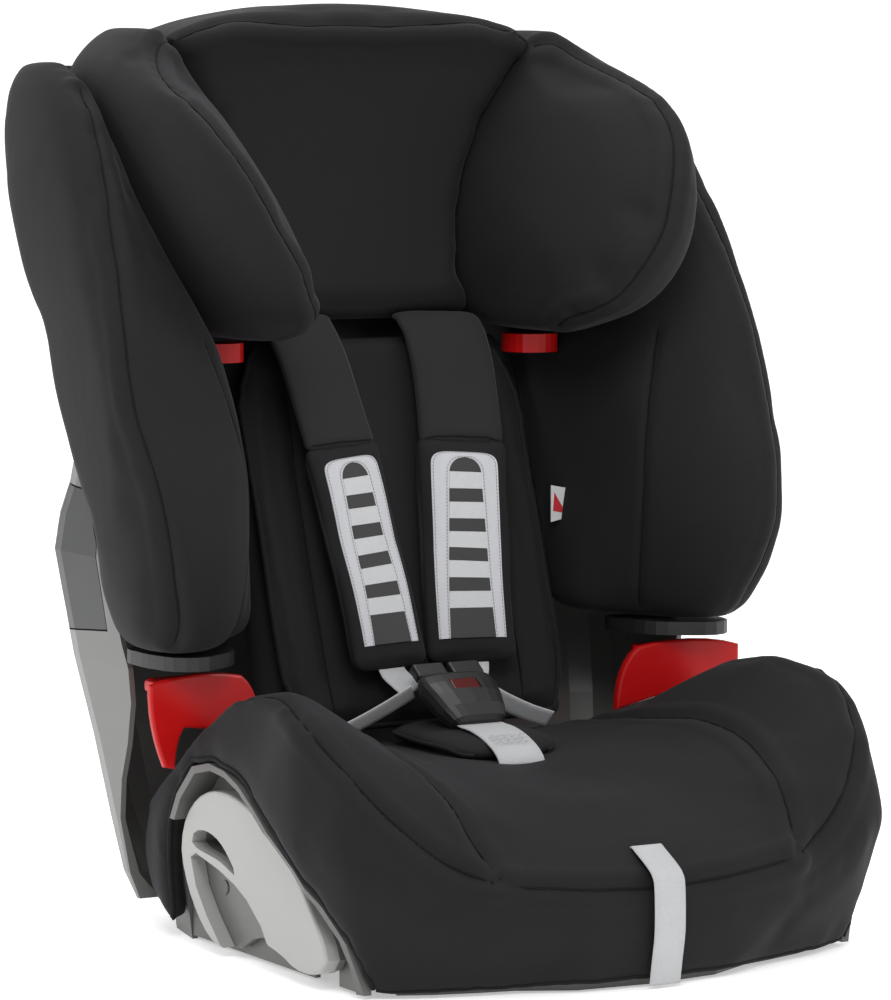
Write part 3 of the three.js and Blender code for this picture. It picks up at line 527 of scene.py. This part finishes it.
def padded_strip(node, name, points, width, thickness, material, across, corner=0.008, rings=64,
                 sections=30, crown=3.0):
    """A soft strap pad: a closed skin of rounded section, rounded at its ends, blown up by air."""
    path = catmull(points, rings)
    frames = section_frames(path, across)
    length = sum((b - a).length for a, b in zip(path, path[1:]))
    verts, faces = [], []
    for r, (p, _, side, normal) in enumerate(frames):
        s = length * r / rings
        edge = min(s, length - s)
        near = max(corner - edge, 0.0) / corner
        half = width / 2 - corner * (1 - math.sqrt(max(1 - near * near, 0.0))) * 0.98
        thin = max(thickness - edge, 0.0) / thickness
        deep = thickness / 2 * max(math.sqrt(max(1 - thin * thin, 0.0)), 0.12)
        for i in range(sections):
            a = 2 * math.pi * i / sections
            c, d = math.cos(a), math.sin(a)
            x = half * math.copysign(abs(c) ** (2 / crown), c)
            y = deep * math.copysign(abs(d) ** 0.8, d)
            verts.append(p + side * x + normal * y)
    for r in range(rings):
        for i in range(sections):
            j = (i + 1) % sections
            faces.append((r * sections + i, r * sections + j, (r + 1) * sections + j,
                          (r + 1) * sections + i))
    faces.append(tuple(range(sections))[::-1])
    faces.append(tuple(range(rings * sections, (rings + 1) * sections)))
    mesh = bpy.data.meshes.new(name)
    mesh.from_pydata(verts, [], faces)
    fix = bmesh.new()
    fix.from_mesh(mesh)
    bmesh.ops.recalc_face_normals(fix, faces=fix.faces)
    fix.to_mesh(mesh)
    fix.free()
    piece = link(name, mesh, material)
    inflate(piece, 2.0, 0.0012)
    relax(piece, 1, 0.3)
    smooth_shading(piece)
    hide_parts(node)
    return piece


def dashes(name, points, material, body, stitch=0.0026, gap=0.0016, radius=0.0004):
    """A row of stitches along a line."""
    length = sum((b - a).length for a, b in zip(points, points[1:]))
    count = max(int(length / (stitch + gap)), 1)
    even = catmull(points, count * 2)
    curve = bpy.data.curves.new(name, "CURVE")
    curve.dimensions = "3D"
    curve.bevel_depth = radius
    curve.bevel_resolution = 1
    curve.use_fill_caps = True
    for i in range(0, len(even) - 1, 2):
        spline = curve.splines.new("POLY")
        spline.points.add(1)
        spline.points[0].co = (*even[i], 1.0)
        spline.points[1].co = (*even[i].lerp(even[i + 1], 1.2), 1.0)
    curve.materials.append(M[material])
    piece = bpy.data.objects.new(name, curve)
    bpy.context.scene.collection.objects.link(piece)
    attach(piece, body)
    return piece


FLOOR_DATUM = 14.0      # the section heights below are in the CAD's table datum, in millimetres


def mm(points, side=1.0):
    return [Vector((x * side, y, z - FLOOR_DATUM)) / 1000.0 for x, y, z in points]


# ---------- seams and edges, as on the real covers ----------
SEAT_FRONT_SEAM = [(-118, -223, 94), (-60, -233, 88), (0, -234, 85), (60, -233, 88), (118, -223, 94)]
SEAT_INNER_SEAM = [(120, -218, 99), (123, -211, 106), (128, -196, 123), (131, -177, 138),
                   (135, -148, 150), (140, -115, 159), (137, -87, 166), (131, -30, 164),
                   (129, 30, 154), (126, 80, 147)]
SEAT_OUTER_SEAM = [(126, -217, 96), (144, -205, 102), (168, -198, 121), (190, -185, 144),
                   (207, -165, 169), (219, -137, 193), (221, -112, 206), (212, -80, 212),
                   (208, -20, 203), (209, 45, 173), (207, 90, 144), (202, 132, 118)]
HEM = [(0, -230, 16), (60, -223, 16), (100, -202, 16), (128, -195, 16), (160, -185, 16), (192, -168, 16)]
WINDOW_EDGE = [(198, -168, 17), (206, -161, 52), (217, -144, 76), (225, -119, 98), (227, -90, 117),
               (225, -60, 132), (223, -32, 144), (221, -5, 151), (219, 22, 153), (218, 50, 147),
               (217, 75, 124), (214, 91, 84), (212, 91, 30)]
WING_SEAM = [(238, 36, 232), (240, 22, 253), (250, 10, 275), (255, 6, 301), (261, 14, 350),
             (267, 37, 400), (266, 55, 450), (259, 79, 500), (252, 107, 545), (245, 132, 580),
             (237, 165, 612), (233, 186, 626)]
WING_INNER_SEAM = [(168, 70, 232), (170, 62, 300), (178, 66, 350), (190, 80, 400), (200, 88, 436)]
EAR_SEAM = [(149, 198, 662), (170, 190, 655), (182, 167, 647), (191, 139, 640), (196, 109, 630),
            (193, 75, 613), (187, 51, 593), (181, 40, 579), (169, 25, 553), (157, 16, 526),
            (143, 13, 502), (130, 21, 480), (123, 27, 471), (116, 37, 462), (110, 50, 456),
            (103, 64, 452), (112, 90, 449)]
HEAD_TOP_SEAM = [(-150, 198, 662), (-125, 201, 668), (-100, 203, 674), (-66, 192, 679), (0, 188, 681),
                 (66, 192, 679), (100, 203, 674), (125, 201, 668), (150, 198, 662)]
INSERT_EDGE = [(0, 86, 152), (60, 86, 153), (96, 84, 158), (114, 84, 170), (121, 90, 190),
               (124, 110, 233), (125, 127, 285), (126, 142, 337), (125, 149, 364), (122, 162, 406),
               (110, 172, 431), (97, 180, 442)]
CHEST_PATH = [(51.5, 132, 360), (47.5, 123.5, 330), (43.5, 113.5, 292), (39, 103, 258),
              (36, 92.5, 222), (34.5, 85.5, 200)]
SLEEVE_PATH = [(55, 190, 449), (55, 178, 450.5), (55, 166, 442), (54.5, 155, 425), (54, 147, 405),
               (52.5, 137.5, 376), (52, 134, 364.5)]
SLEEVE_LEAN = {"right": 0.0, "left": 12.0}     # the left sleeve lies further out at its top, mm
STRAP_END = [(30, 80, 192), (24, 72, 184)]
LAP_PATH = [(28, 65.5, 185), (48, 69, 174), (72, 71, 163), (92, 71, 156)]
CROTCH_PATH = [(0, -43.5, 143), (0, -41, 148), (0, -33, 154), (0, -18, 160), (0, -2, 163.5),
               (0, 12, 164.5), (0, 20, 165.5)]
ADJUSTER_PATH = [(0, -205.8, 94), (0, -205.9, 105.5), (0, -207.5, 108.6), (0, -213, 106),
                 (0, -228, 98), (0, -235, 92.5), (0, -238, 84), (0, -238.5, 55), (0, -235, 34),
                 (0, -232, 17)]
CHEST_T = 0.012


def near_node(node, distance):
    tree = surface_tree(NODES[node])
    return lambda vertex: tree.find_nearest(vertex.co, distance)[0] is not None


def make_seat():
    seat = cushion("seat_cover", "Seat_cover", "black", voxel=0.006, rounds=4, pressure=2.5, cap=0.004,
                   shrink=-0.0015, hold_inside=near_node("base_shell", 0.005))
    stitched_seam(seat, "Seam_seat_front", mm(SEAT_FRONT_SEAM), "base", swell=0.0012)
    for label, side in SIDES:
        stitched_seam(seat, f"Seam_seat_inner_{label}", mm(SEAT_INNER_SEAM, side), "base", swell=0.0012)
        stitched_seam(seat, f"Seam_seat_outer_{label}", mm(SEAT_OUTER_SEAM, side), "base", swell=0.0012)
    tree = surface_tree(seat)
    for label, side in SIDES:
        edge = snapped(tree, catmull(mm(WINDOW_EDGE, side), 120), lift=0.0004)
        cord_line(f"Piping_window_{label}", edge, 0.0021, "piping", "base")
        hem = snapped(tree, catmull(mm(HEM, side), 60), lift=0.0)
        cord_line(f"Piping_hem_{label}", hem, 0.0017, "piping", "base")
    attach(seat, "base")


def make_wings():
    wing = cushion("side_wing_right", "Side_wing_right", "black", voxel=0.006, rounds=8, shrink=-0.001,
                   pressure=2.0, cap=0.004)
    twin = mirrored_cushion(wing, "side_wing_left", "Side_wing_left")
    for piece, (label, side) in zip((wing, twin), SIDES):
        stitched_seam(piece, f"Seam_wing_{label}", mm(WING_SEAM, side), "backrest", swell=0.0012,
                      count=140)
        stitched_seam(piece, f"Seam_wing_inner_{label}", mm(WING_INNER_SEAM, side), "backrest",
                      depth=0.002)
        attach(piece, "backrest")


def make_headrest():
    pad = cushion("headrest_pad", "Headrest_pad", "black", voxel=0.006, rounds=7, shrink=-0.001,
                  pressure=3.0, cap=0.005)
    stitched_seam(pad, "Seam_headrest_top", mm(HEAD_TOP_SEAM), "headrest", swell=0.001)
    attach(pad, "headrest")
    ear = cushion("headrest_wing_right", "Headrest_wing_right", "black", voxel=0.006, rounds=7,
                  shrink=-0.001, pressure=3.0, cap=0.005)
    twin = mirrored_cushion(ear, "headrest_wing_left", "Headrest_wing_left")
    for piece, (label, side) in zip((ear, twin), SIDES):
        stitched_seam(piece, f"Seam_ear_{label}", mm(EAR_SEAM, side), "headrest", swell=0.0012, count=140)
        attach(piece, "headrest")


def make_back():
    pad = cushion("back_pad", "Back_pad", "mesh", voxel=0.006, rounds=6, shrink=0.002, cap=0.004)
    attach(pad, "backrest")
    rim = cushion("top_rim_pad", "Top_rim_pad", "black", voxel=0.004, rounds=5, shrink=0.001, cap=0.003)
    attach(rim, "backrest")
    insert = cushion("insert_pad", "Insert_pad", "black", voxel=0.0045, rounds=5, shrink=0.0015,
                     pressure=3.0, cap=0.004)
    for label, side in SIDES:
        stitched_seam(insert, f"Seam_insert_{label}",
                      mm([(80, 84, 160), (82, 108, 235), (82, 133, 320), (78, 168, 425)], side),
                      "backrest", depth=0.0025, swell=0.001)
    tree = surface_tree(insert)
    for label, side in SIDES:
        edge = snapped(tree, catmull(mm(INSERT_EDGE, side), 140), lift=0.0006)
        cord_line(f"Piping_insert_{label}", edge, 0.0022, "piping", "backrest")
    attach(insert, "backrest")
    crotch = padded_strip("crotch_pad", "Crotch_pad",
                          mm([(0, -30, 149.5), (0, -5, 153.5), (0, 30, 155), (0, 60, 155.5),
                              (0, 82, 154)]), 0.094, 0.015, "mesh", RIGHT, corner=0.030)
    rim_points = mm([(-30, -26, 150), (-45, -4, 154), (-47, 30, 155), (-45, 58, 156), (-31, 79, 155),
                     (0, 82, 154), (31, 79, 155), (45, 58, 156), (47, 30, 155), (45, -4, 154),
                     (30, -26, 150)])
    ring = eased(snapped(surface_tree(crotch), catmull(rim_points, 120), lift=0.0003), 3)
    cord_line("Piping_crotch_pad", ring, 0.0016, "piping", "base")
    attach(crotch, "base")


class PadSurface:
    """Places a point (across, down) in metres on the front of a chest pad."""

    def __init__(self, side, pad):
        across = Vector((PAD_ACROSS.x * side, PAD_ACROSS.y, PAD_ACROSS.z))
        self.frames = section_frames(catmull(mm(CHEST_PATH, side), 80), across)
        self.length = sum((b[0] - a[0]).length for a, b in zip(self.frames, self.frames[1:]))
        self.outward = 1.0 if self.frames[40][3].y < 0 else -1.0
        self.sideways = 1.0 if self.frames[40][2].x * side > 0 else -1.0
        self.tree = surface_tree(pad)

    def point(self, across, down, lift=0.0):
        place = min(max(down / self.length, 0.0), 1.0) * (len(self.frames) - 1)
        i = min(int(place), len(self.frames) - 2)
        f = place - i
        (p, _, s, n), (q, _, s2, n2) = self.frames[i], self.frames[i + 1]
        normal = (n.lerp(n2, f) * self.outward).normalized()
        start = p.lerp(q, f) + s.lerp(s2, f) * (across * self.sideways)
        hit = self.tree.ray_cast(start + normal * 0.03, -normal)[0]
        return (hit or start + normal * (CHEST_T / 2)) + normal * lift


def strip_mesh(name, surface, rows, lift, thickness, material, body, replaces=()):
    """A thin panel on a pad: rows of (across, down) points of equal count, with thickness and its own UV."""
    verts, faces, uvs = [], [], []
    columns = len(rows[0])
    for row in rows:
        for a, d in row:
            verts.append(surface.point(a, d, lift + thickness))
            uvs.append((a / 0.025 + 0.5, d / 0.025))
    top = len(verts)
    for row in rows:
        for a, d in row:
            verts.append(surface.point(a, d, lift - 0.0015))
            uvs.append((a / 0.025 + 0.5, d / 0.025))
    count = len(rows)
    for r in range(count - 1):
        for c in range(columns - 1):
            quad = (r * columns + c, r * columns + c + 1, (r + 1) * columns + c + 1,
                    (r + 1) * columns + c)
            faces += [quad, tuple(i + top for i in quad[::-1])]
    border = ([c for c in range(columns)] + [r * columns + columns - 1 for r in range(1, count)]
              + [(count - 1) * columns + c for c in range(columns - 2, -1, -1)]
              + [r * columns for r in range(count - 2, 0, -1)])
    for a, b in zip(border, border[1:] + border[:1]):
        faces.append((a, a + top, b + top, b))
    mesh = bpy.data.meshes.new(name)
    mesh.from_pydata(verts, [], faces)
    uv = mesh.uv_layers.new(name="UVMap")
    for loop in mesh.loops:
        uv.data[loop.index].uv = uvs[loop.vertex_index]
    fix = bmesh.new()
    fix.from_mesh(mesh)
    bmesh.ops.recalc_face_normals(fix, faces=fix.faces)
    fix.to_mesh(mesh)
    fix.free()
    piece = link(name, mesh, material, body, replaces)
    edges = piece.modifiers.new("Soft edges", "BEVEL")
    edges.width = 0.0003
    edges.segments = 2
    return piece


TRIM_HALF = 0.0262          # reflective trim on a chest pad: half width, ends and window
TRIM_START, TRIM_END = 0.009, 0.150
WINDOW_TOP, WINDOW_FOOT = 0.0120, 0.0172
WINDOW_BAND = 0.0042


def window_half(d):
    """Half width of the trim's window at distance d down the pad."""
    arc = TRIM_START + WINDOW_BAND + WINDOW_TOP
    if d < arc:
        return math.sqrt(max(WINDOW_TOP ** 2 - (arc - d) ** 2, 0.0))
    return WINDOW_TOP + (WINDOW_FOOT - WINDOW_TOP) * (d - arc) / (TRIM_END - arc)


def trim_lines():
    """Outer and inner edge of the trim: up one leg, over the rounded top, down the other leg."""
    arc = TRIM_START + WINDOW_BAND + WINDOW_TOP
    outer, inner = [], []
    legs = [TRIM_END - (TRIM_END - arc) * i / 24 for i in range(25)]
    for d in legs:
        outer.append((-TRIM_HALF, d))
        inner.append((-window_half(d), d))
    for i in range(1, 24):
        angle = math.pi * i / 24
        c, h = math.cos(angle), math.sin(angle)
        outer.append((-TRIM_HALF * math.copysign(abs(c) ** 0.42, c),
                      arc - (WINDOW_BAND + WINDOW_TOP) * h ** 0.42))
        inner.append((-WINDOW_TOP * c, arc - WINDOW_TOP * h))
    for d in legs[::-1]:
        outer.append((TRIM_HALF, d))
        inner.append((window_half(d), d))
    return outer, inner


def between(a, b, share):
    return (a[0] + (b[0] - a[0]) * share, a[1] + (b[1] - a[1]) * share)


def window_rows(top, bottom, rows=6, columns=8, side_gap=0.0004):
    out = []
    for r in range(rows + 1):
        d = top + (bottom - top) * r / rows
        reach = max(window_half(d) + side_gap, 0.0005)
        out.append([(-reach + 2 * reach * c / columns, d) for c in range(columns + 1)])
    return out


def leaning(points, label, side):
    """The sleeve's line, leaning outward towards its top on the side where it lies that way."""
    foot, head = SLEEVE_PATH[-1][2], SLEEVE_PATH[0][2]
    return mm([(x + SLEEVE_LEAN[label] * max(z - foot, 0.0) / (head - foot), y, z)
               for x, y, z in points], side)


def make_chest_pads():
    for label, side in SIDES:
        across = Vector((PAD_ACROSS.x * side, PAD_ACROSS.y, PAD_ACROSS.z))
        path = mm(CHEST_PATH, side)
        path = [path[0] + (path[0] - path[1]).normalized() * 0.003, *path]
        pad = padded_strip(f"chest_pad_{label}", f"Chest_pad_{label}", path, 0.0695, 0.0125, "mesh",
                           across, corner=0.009)
        surface = PadSurface(side, pad)
        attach(pad, "backrest")
        tree = surface_tree(pad)
        rim = [(-0.0342, 0.006), (-0.0344, 0.08), (-0.0342, 0.156), (-0.031, 0.1625), (-0.024, 0.1650),
               (0.0, 0.1654), (0.024, 0.1650), (0.031, 0.1625), (0.0342, 0.156), (0.0344, 0.08),
               (0.0342, 0.006)]
        ring = snapped(tree, catmull([surface.point(a, d, -CHEST_T / 2) for a, d in rim], 160),
                       lift=0.0002)
        cord_line(f"Piping_chest_{label}", eased(ring, 3), 0.0016, "piping", "backrest")
        outer, inner = trim_lines()
        middle = [between(a, b, 0.5) for a, b in zip(outer, inner)]
        strip_mesh(f"Pad_trim_{label}", surface, [outer, middle, inner], 0.0, 0.0007, "trim",
                   "backrest", [f"pad_trim_{label}"])
        for row, share in (("outer", 0.12), ("inner", 0.84)):
            line = [between(a, b, share) for a, b in zip(outer, inner)]
            dashes(f"Stitch_trim_{row}_{label}", [surface.point(a, d, 0.0008) for a, d in line],
                   "thread_grey", "backrest", stitch=0.0014, gap=0.0012,
                   radius=0.00028)
        pitch, ribbon = 0.0226, 0.0124
        first = TRIM_START + 0.0154
        top = TRIM_START + WINDOW_BAND
        strip_mesh(f"Pad_top_{label}", surface, window_rows(top, first, rows=10), 0.0004, 0.0007,
                   "rubber", "backrest")
        for i in range(5):
            low = first + pitch * i
            strip_mesh(f"Pad_window_{i + 1}_{label}", surface,
                       window_rows(low - 0.0006, low + ribbon + 0.0006), 0.0004, 0.0007, "ribbon",
                       "backrest")
            if i < 4:
                strip_mesh(f"Pad_bar_{i + 1}_{label}", surface,
                           window_rows(low + ribbon, low + pitch, rows=3), 0.0004, 0.0009, "rubber",
                           "backrest")
        strip_mesh(f"Pad_foot_{label}", surface, window_rows(first + pitch * 4 + ribbon, TRIM_END),
                   0.0004, 0.0009, "rubber", "backrest")
        sleeve_path = leaning([*SLEEVE_PATH, (51.6, 132.6, 358)], label, side)
        sleeve = padded_strip(f"strap_sleeve_{label}", f"Strap_sleeve_{label}", sleeve_path, 0.066,
                              0.0105, "charcoal", across, corner=0.006, rings=48)
        hem = [surface_tree(sleeve).find_nearest(p)[0]
               for p in catmull([surface.point(a, -0.0085, 0.006)
                                 for a in (-0.031, -0.016, 0.0, 0.016, 0.031)], 40)]
        cord_line(f"Hem_sleeve_{label}", eased(hem, 3), 0.0006, "thread_dark", "headrest")
        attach(sleeve, "headrest")


def make_straps():
    for label, side in SIDES:
        across = Vector((PAD_ACROSS.x * side, PAD_ACROSS.y, PAD_ACROSS.z))
        path = leaning(SLEEVE_PATH[:6], label, side) + mm(CHEST_PATH, side) + mm(STRAP_END, side)
        webbing(f"Shoulder_strap_{label}", path, 0.025, 0.0016, "silver", "headrest",
                across=across, replaces=[f"shoulder_strap_{label}"], steps=90, body_two="backrest")
        webbing(f"Lap_strap_{label}", mm(LAP_PATH, side), 0.015, 0.0014, "silver", "backrest",
                across=Vector((0.0, -0.5, 0.86)), replaces=[f"lap_strap_{label}"])
    webbing("Crotch_strap", mm(CROTCH_PATH), 0.038, 0.0016, "silver", "base",
            replaces=["crotch_strap"], steps=40, body_two="backrest")
    for k, row in enumerate((0.0, 4.5, 9.0)):
        zigzag = [((-15 + 3 * i), -30 + row + (1.6 if i % 2 else -1.6), 158.4 + 0.42 * row)
                  for i in range(11)]
        dashes(f"Stitch_crotch_{k + 1}", mm(zigzag), "thread_light", "base",
               stitch=0.0018, gap=0.0006)
    webbing("Adjuster_strap", mm(ADJUSTER_PATH), 0.025, 0.0016, "silver", "base",
            replaces=["adjuster_strap"], steps=70)


def make_tag():
    low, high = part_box("side_tag")
    depth = (low.y + high.y) / 2
    width, height = high.x - low.x + 0.004, high.z - low.z + 0.006
    tag = [(0, 0), (width, 0.1 * height), (width, 0.9 * height), (0, height)]
    mark = [(0.12 * width, 0.3 * height), (0.92 * width, 0.22 * height), (0.2 * width, 0.8 * height)]
    for name, corners, material, lift in (("Side_tag", tag, "tag_white", 0.0),
                                          ("Side_tag_mark", mark, "tag_red", 0.0003)):
        mesh = bpy.data.meshes.new(name)
        mesh.from_pydata([(low.x + a, depth - lift, low.z - 0.003 + b) for a, b in corners], [],
                         [tuple(range(len(corners)))])
        piece = link(name, mesh, material, None, ["side_tag"])
        thick = piece.modifiers.new("Thickness", "SOLIDIFY")
        thick.thickness = 0.0006
        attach(piece, "backrest")


def make_stage():
    profile = [(-9.0, 0.0), (2.2, 0.0)]
    profile += [(2.2 + 2.5 * math.sin(math.radians(a)), 2.5 - 2.5 * math.cos(math.radians(a)))
                for a in range(6, 91, 6)]
    profile += [(4.7, 9.0)]
    verts = [(x, y, z) for y, z in profile for x in (-9.0, 9.0)]
    faces = [(2 * i, 2 * i + 1, 2 * i + 3, 2 * i + 2) for i in range(len(profile) - 1)]
    mesh = bpy.data.meshes.new("Floor")
    mesh.from_pydata(verts, [], faces)
    floor = bpy.data.objects.new("Floor", mesh)
    bpy.context.scene.collection.objects.link(floor)
    pale, nodes, links, shader = new_material("Pale floor", (0.93, 0.93, 0.93), 0.75)
    tone = texture(nodes, links, "Noise", "Object", 3.0, Detail=2.0)
    links.new(ranged(nodes, links, tone, 0.7, 0.8), shader.inputs["Roughness"])
    shader.inputs["Emission Color"].default_value = (1.0, 1.0, 1.0, 1.0)
    shader.inputs["Emission Strength"].default_value = 0.42
    mesh.materials.append(pale)
    smooth_shading(floor)
    world = bpy.data.worlds.new("Studio")
    world.use_nodes = True
    world.node_tree.nodes["Background"].inputs["Color"].default_value = (1.0, 1.0, 1.0, 1.0)
    world.node_tree.nodes["Background"].inputs["Strength"].default_value = 0.55
    bpy.context.scene.world = world
    bpy.context.scene.view_settings.view_transform = "Standard"
    centre = Vector((0.0, 0.03, 0.33))
    for name, place, size, power in (
            ("Key", (-1.2, -2.0, 2.4), 1.3, 42.0), ("Right", (2.2, -1.2, 1.3), 1.2, 16.0),
            ("Top", (0.1, 0.3, 2.6), 1.4, 26.0), ("Left rim", (-2.4, 0.5, 1.2), 1.0, 11.0)):
        light = bpy.data.lights.new(name, "AREA")
        light.energy = power
        light.size = size
        lamp = bpy.data.objects.new(name, light)
        lamp.location = place
        lamp.rotation_euler = (centre - Vector(place)).to_track_quat("-Z", "Y").to_euler()
        bpy.context.scene.collection.objects.link(lamp)


def make_camera():
    azimuth, pitch = math.radians(-30.0), math.radians(5.2)
    back = Vector((math.sin(azimuth) * math.cos(pitch), -math.cos(azimuth) * math.cos(pitch),
                   math.sin(pitch)))
    right = Vector((math.cos(azimuth), math.sin(azimuth), 0.0))
    upward = back.cross(right)
    data = bpy.data.cameras.new("Camera")
    data.sensor_width = 36.0
    data.lens = 165.6
    camera = bpy.data.objects.new("Camera", data)
    turn = Matrix((right, upward, back)).transposed().to_4x4()
    camera.matrix_world = Matrix.Translation((-1.67343, -2.832, 0.6148)) @ turn
    bpy.context.scene.collection.objects.link(camera)
    bpy.context.scene.camera = camera


make_camera()
make_stage()
for node_name in NODES:
    dress_cad_node(node_name)
make_seat()
make_wings()
make_headrest()
make_back()
make_chest_pads()
make_straps()
make_tag()
